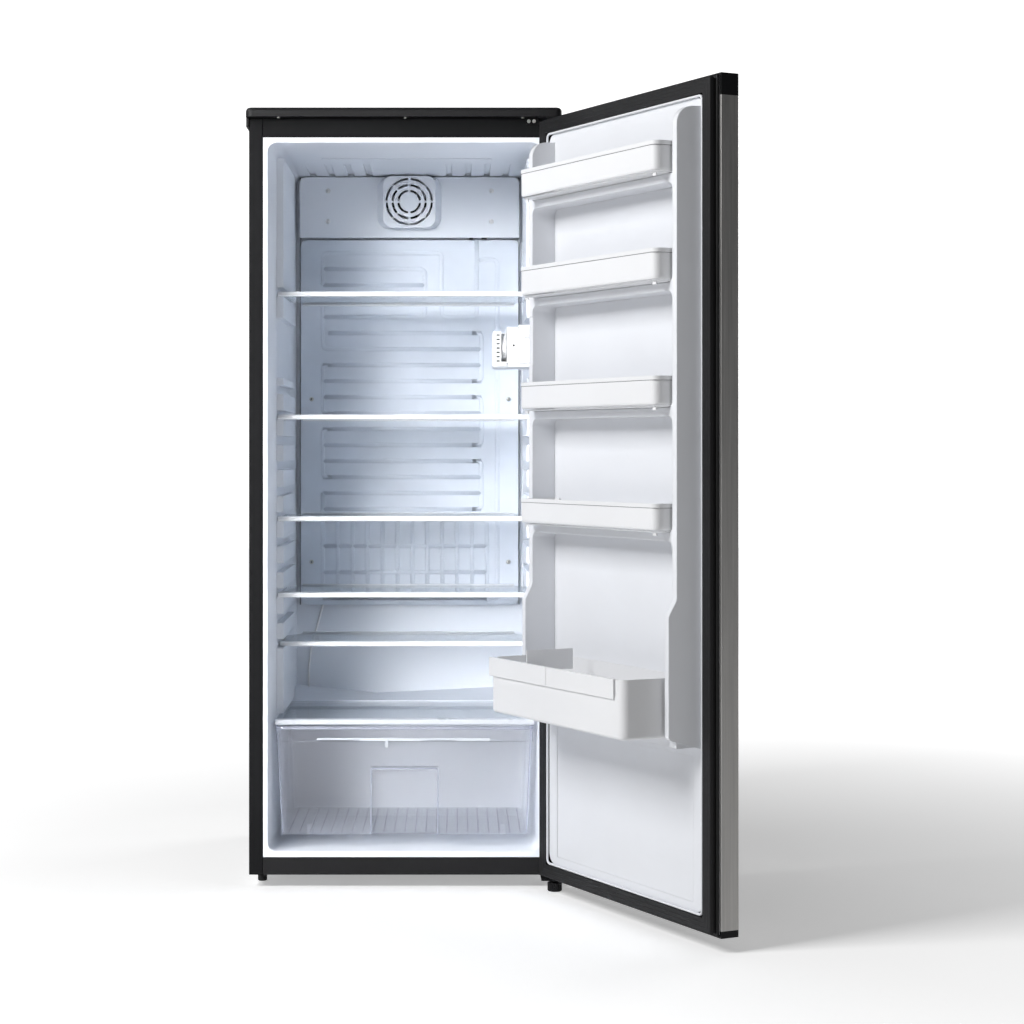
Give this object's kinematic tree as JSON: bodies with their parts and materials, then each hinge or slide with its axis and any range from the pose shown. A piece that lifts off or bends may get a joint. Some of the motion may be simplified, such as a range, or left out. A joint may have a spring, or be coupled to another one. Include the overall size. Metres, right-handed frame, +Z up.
{
  "type": "upright refrigerator",
  "caption": "Upright single-door all-refrigerator, door open, with glass shelves, crisper drawer, lift-off door racks and a bottle bin.",
  "frame": {"origin": "on the floor under the middle of the cabinet's footprint", "axes": "+Z up from the floor, -Y out of the front of the cabinet, +X towards the hinge side (right, seen from the front)"},
  "size_m": [0.8773, 1.1682, 1.4967],
  "materials": {
    "painted_black_sheet": "fine orange peel",
    "galvanised_sheet": "satin",
    "stainless_skin": "brushed",
    "black_plastic": "fine grain",
    "grey_plastic": "satin",
    "white_liner": "satin",
    "white_plastic": "satin",
    "insulation": "rigid foam",
    "evaporator_aluminium": "painted",
    "copper_tube": "drawn",
    "shelf_glass": "polished",
    "crisper_clear": "clear",
    "trim_grey": "satin",
    "gasket_black": "matte",
    "lamp_glass": "frosted",
    "dark_component": "satin",
    "zinc_screw": "zinc",
    "compressor_black": "satin"
  },
  "bodies": {
    "cabinet": {"side_panel_left": "painted_black_sheet", "side_panel_right": "painted_black_sheet", "back_panel": "galvanised_sheet", "top_rail": "painted_black_sheet", "bottom_rail": "painted_black_sheet", "base_pan": "galvanised_sheet", "compressor_bay": "galvanised_sheet", "top_cover": "black_plastic", "inner_liner": "white_liner", "cabinet_foam": "insulation", "evaporator_plate": "evaporator_aluminium", "fan_cover": "white_plastic", "fan_motor": "dark_component", "capillary_tube": "white_plastic", "control_housing": "white_plastic", "lamp_cover": "white_plastic", "lamp_bulb": "lamp_glass", "thermostat_body": "dark_component", "compressor": "compressor_black", "drip_tray": "dark_component", "drain_hose": "dark_component", "refrigerant_pipes": "copper_tube", "power_inlet": "dark_component", "rear_feet": "black_plastic", "lower_hinge": "painted_black_sheet", "upper_hinge": "painted_black_sheet", "cabinet_screws": "zinc_screw"},
    "door": {"door_skin": "stainless_skin", "door_foam": "insulation", "door_liner": "white_liner", "door_gasket": "gasket_black", "door_top_cap": "grey_plastic", "door_bottom_cap": "grey_plastic", "hinge_bushings": "dark_component"},
    "shelf_1": {"shelf_glass_1": "shelf_glass", "shelf_trim_1": "trim_grey"},
    "shelf_2": {"shelf_glass_2": "shelf_glass", "shelf_trim_2": "trim_grey"},
    "shelf_3": {"shelf_glass_3": "shelf_glass", "shelf_trim_3": "trim_grey"},
    "shelf_4": {"shelf_glass_4": "shelf_glass", "shelf_trim_4": "trim_grey"},
    "shelf_5": {"shelf_glass_5": "shelf_glass", "shelf_trim_5": "trim_grey"},
    "crisper_cover": {"crisper_cover_glass": "shelf_glass", "crisper_cover_trim": "trim_grey"},
    "crisper": {"crisper_drawer": "crisper_clear", "humidity_slider": "trim_grey"},
    "rack_1": {"door_rack_1": "white_plastic"},
    "rack_2": {"door_rack_2": "white_plastic"},
    "rack_3": {"door_rack_3": "white_plastic"},
    "rack_4": {"door_rack_4": "white_plastic"},
    "bin": {"bottle_bin": "white_plastic"},
    "guard_inner": {"bin_guard_inner": "white_plastic"},
    "guard_outer": {"bin_guard_outer": "white_plastic"},
    "dial": {"thermostat_dial": "white_plastic"},
    "switch": {"door_switch": "white_plastic"},
    "fan": {"fan_rotor": "dark_component"},
    "foot_left": {"levelling_foot_left": "black_plastic"},
    "foot_right": {"levelling_foot_right": "black_plastic"}
  },
  "joints": [
    {"name": "door_swing", "type": "hinge", "parent": "cabinet", "child": "door", "pos_m": [0.2884, -0.3329, 0], "axis": [0, 0, 1], "range_deg": [-117.17, 17.8]},
    {"name": "shelf_1_slide", "type": "slide", "parent": "cabinet", "child": "shelf_1", "axis": [0, -1, 0], "range_m": [0, 0.13]},
    {"name": "shelf_2_slide", "type": "slide", "parent": "cabinet", "child": "shelf_2", "axis": [0, -1, 0], "range_m": [0, 0.13]},
    {"name": "shelf_3_slide", "type": "slide", "parent": "cabinet", "child": "shelf_3", "axis": [0, -1, 0], "range_m": [0, 0.13]},
    {"name": "shelf_4_slide", "type": "slide", "parent": "cabinet", "child": "shelf_4", "axis": [0, -1, 0], "range_m": [0, 0.13]},
    {"name": "shelf_5_slide", "type": "slide", "parent": "cabinet", "child": "shelf_5", "axis": [0, -1, 0], "range_m": [0, 0.12]},
    {"name": "crisper_cover_slide", "type": "slide", "parent": "cabinet", "child": "crisper_cover", "axis": [0, -1, 0], "range_m": [0, 0.08]},
    {"name": "crisper_slide", "type": "slide", "parent": "cabinet", "child": "crisper", "axis": [0, -1, 0], "range_m": [0, 0.2]},
    {"name": "rack_1_lift", "type": "slide", "parent": "door", "child": "rack_1", "axis": [0, 0, 1], "range_m": [0, 0.035]},
    {"name": "rack_2_lift", "type": "slide", "parent": "door", "child": "rack_2", "axis": [0, 0, 1], "range_m": [0, 0.035]},
    {"name": "rack_3_lift", "type": "slide", "parent": "door", "child": "rack_3", "axis": [0, 0, 1], "range_m": [0, 0.035]},
    {"name": "rack_4_lift", "type": "slide", "parent": "door", "child": "rack_4", "axis": [0, 0, 1], "range_m": [0, 0.035]},
    {"name": "bin_lift", "type": "slide", "parent": "door", "child": "bin", "axis": [0, 0, 1], "range_m": [0, 0.03]},
    {"name": "guard_inner_lift", "type": "slide", "parent": "bin", "child": "guard_inner", "axis": [0, 0, 1], "range_m": [0, 0.025]},
    {"name": "guard_outer_lift", "type": "slide", "parent": "bin", "child": "guard_outer", "axis": [0, 0, 1], "range_m": [0, 0.025]},
    {"name": "dial_turn", "type": "hinge", "parent": "cabinet", "child": "dial", "pos_m": [0.19, -0.222, 1.041], "axis": [1, 0, 0], "range_deg": [-120, 120]},
    {"name": "switch_press", "type": "slide", "parent": "cabinet", "child": "switch", "axis": [0, 1, 0], "range_m": [0, 0.004], "stiffness_N_per_m": 300, "springref_m": -0.003},
    {"name": "fan_spin", "type": "hinge", "parent": "cabinet", "child": "fan", "pos_m": [0, 0.159, 1.368], "axis": [0, 1, 0], "continuous": true},
    {"name": "foot_left_turn", "type": "hinge", "parent": "cabinet", "child": "foot_left", "pos_m": [-0.278, -0.23, 0.01], "axis": [0, 0, 1], "range_deg": [-180, 180]},
    {"name": "foot_right_turn", "type": "hinge", "parent": "cabinet", "child": "foot_right", "pos_m": [0.2884, -0.3329, 0.01], "axis": [0, 0, 1], "range_deg": [-180, 180]}
  ]
}
